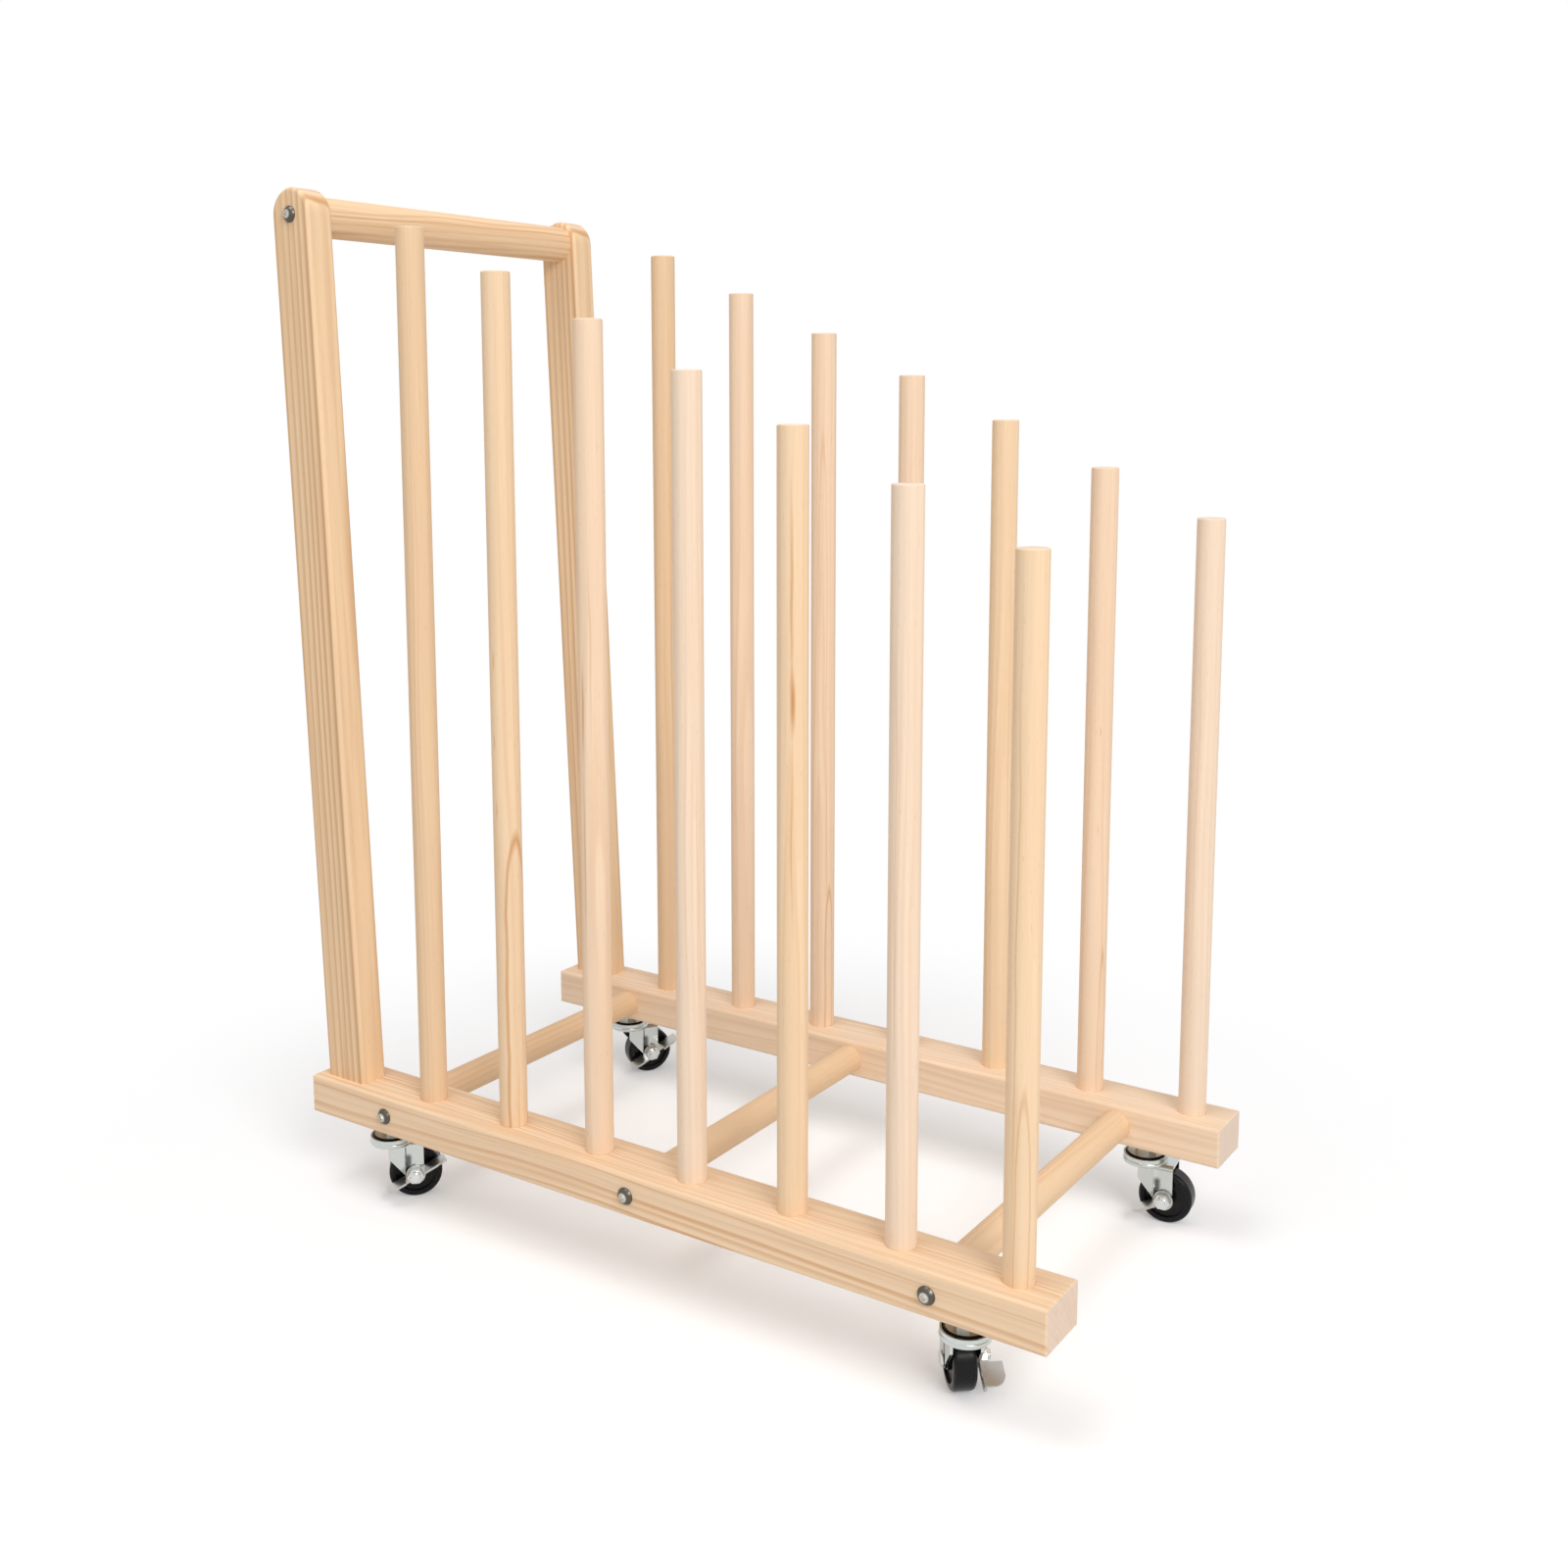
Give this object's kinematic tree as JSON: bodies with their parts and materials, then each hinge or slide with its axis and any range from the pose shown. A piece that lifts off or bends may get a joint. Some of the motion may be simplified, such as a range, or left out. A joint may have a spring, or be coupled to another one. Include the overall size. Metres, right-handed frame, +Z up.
{
  "type": "art drying rack",
  "caption": "Rolling wooden rack that stands canvases on edge between paired posts stepping down from a tall push handle, on braked swivel casters.",
  "frame": {"origin": "on the floor, under the middle of the whole rack's box, with the leaning handle and the casters included", "axes": "+Z up, +X along the rails from the handle to the low end, +Y across the rack towards the back rail"},
  "size_m": [0.6072, 0.3322, 0.7239],
  "materials": {
    "pine": "sanded and clear sealed, matt",
    "nickel_plated_steel": "nickel plated",
    "zinc_alloy": "as cast",
    "zinc_plated_steel": "bright zinc plated",
    "bearing_steel": "polished and greased",
    "black_polypropylene": "moulded, low gloss"
  },
  "bodies": {
    "frame": {"front_rail": "pine", "back_rail": "pine", "stretcher_left": "pine", "stretcher_middle": "pine", "stretcher_right": "pine", "front_upright": "pine", "back_upright": "pine", "handle_bar": "pine", "post_front_1": "pine", "post_front_2": "pine", "post_front_3": "pine", "post_front_4": "pine", "post_front_5": "pine", "post_front_6": "pine", "post_front_7": "pine", "post_back_1": "pine", "post_back_2": "pine", "post_back_3": "pine", "post_back_4": "pine", "post_back_5": "pine", "post_back_6": "pine", "post_back_7": "pine", "rail_bolts": "nickel_plated_steel", "handle_bolts": "nickel_plated_steel", "dowel_inserts": "zinc_alloy", "caster_inserts": "zinc_alloy", "stem_front_left": "zinc_plated_steel", "stem_back_left": "zinc_plated_steel", "stem_front_right": "zinc_plated_steel", "stem_back_right": "zinc_plated_steel"},
    "swivel_front_left": {"fork_front_left": "zinc_plated_steel", "bearing_balls_front_left": "bearing_steel", "axle_bolt_front_left": "zinc_plated_steel", "axle_nut_front_left": "zinc_plated_steel", "axle_sleeve_front_left": "zinc_plated_steel"},
    "wheel_front_left": {"wheel_front_left": "black_polypropylene"},
    "lever_front_left": {"brake_lever_front_left": "zinc_plated_steel"},
    "swivel_back_left": {"fork_back_left": "zinc_plated_steel", "bearing_balls_back_left": "bearing_steel", "axle_bolt_back_left": "zinc_plated_steel", "axle_nut_back_left": "zinc_plated_steel", "axle_sleeve_back_left": "zinc_plated_steel"},
    "wheel_back_left": {"wheel_back_left": "black_polypropylene"},
    "lever_back_left": {"brake_lever_back_left": "zinc_plated_steel"},
    "swivel_front_right": {"fork_front_right": "zinc_plated_steel", "bearing_balls_front_right": "bearing_steel", "axle_bolt_front_right": "zinc_plated_steel", "axle_nut_front_right": "zinc_plated_steel", "axle_sleeve_front_right": "zinc_plated_steel"},
    "wheel_front_right": {"wheel_front_right": "black_polypropylene"},
    "lever_front_right": {"brake_lever_front_right": "zinc_plated_steel"},
    "swivel_back_right": {"fork_back_right": "zinc_plated_steel", "bearing_balls_back_right": "bearing_steel", "axle_bolt_back_right": "zinc_plated_steel", "axle_nut_back_right": "zinc_plated_steel", "axle_sleeve_back_right": "zinc_plated_steel"},
    "wheel_back_right": {"wheel_back_right": "black_polypropylene"},
    "lever_back_right": {"brake_lever_back_right": "zinc_plated_steel"}
  },
  "joints": [
    {"name": "swivel_front_left", "type": "hinge", "parent": "frame", "child": "swivel_front_left", "pos_m": [-0.22637, -0.14225, 0.057], "axis": [0, 0, 1], "continuous": true},
    {"name": "roll_front_left", "type": "hinge", "parent": "swivel_front_left", "child": "wheel_front_left", "pos_m": [-0.21506, -0.13094, 0.019], "axis": [-0.7071, 0.7071, 0], "continuous": true},
    {"name": "brake_front_left", "type": "hinge", "parent": "swivel_front_left", "child": "lever_front_left", "pos_m": [-0.21506, -0.13094, 0.019], "axis": [-0.7071, 0.7071, 0], "range_deg": [0, 24]},
    {"name": "swivel_back_left", "type": "hinge", "parent": "frame", "child": "swivel_back_left", "pos_m": [-0.22637, 0.13325, 0.057], "axis": [0, 0, 1], "continuous": true},
    {"name": "roll_back_left", "type": "hinge", "parent": "swivel_back_left", "child": "wheel_back_left", "pos_m": [-0.21766, 0.14667, 0.019], "axis": [-0.8387, 0.5446, 0], "continuous": true},
    {"name": "brake_back_left", "type": "hinge", "parent": "swivel_back_left", "child": "lever_back_left", "pos_m": [-0.21766, 0.14667, 0.019], "axis": [-0.8387, 0.5446, 0], "range_deg": [0, 24]},
    {"name": "swivel_front_right", "type": "hinge", "parent": "frame", "child": "swivel_front_right", "pos_m": [0.24363, -0.14225, 0.057], "axis": [0, 0, 1], "continuous": true},
    {"name": "roll_front_right", "type": "hinge", "parent": "swivel_front_right", "child": "wheel_front_right", "pos_m": [0.23313, -0.13018, 0.019], "axis": [-0.7547, -0.6561, 0], "continuous": true},
    {"name": "brake_front_right", "type": "hinge", "parent": "swivel_front_right", "child": "lever_front_right", "pos_m": [0.23313, -0.13018, 0.019], "axis": [-0.7547, -0.6561, 0], "range_deg": [0, 24]},
    {"name": "swivel_back_right", "type": "hinge", "parent": "frame", "child": "swivel_back_right", "pos_m": [0.24363, 0.13325, 0.057], "axis": [0, 0, 1], "continuous": true},
    {"name": "roll_back_right", "type": "hinge", "parent": "swivel_back_right", "child": "wheel_back_right", "pos_m": [0.25951, 0.1352, 0.019], "axis": [-0.1219, 0.9925, 0], "continuous": true},
    {"name": "brake_back_right", "type": "hinge", "parent": "swivel_back_right", "child": "lever_back_right", "pos_m": [0.25951, 0.1352, 0.019], "axis": [-0.1219, 0.9925, 0], "range_deg": [0, 24]}
  ]
}
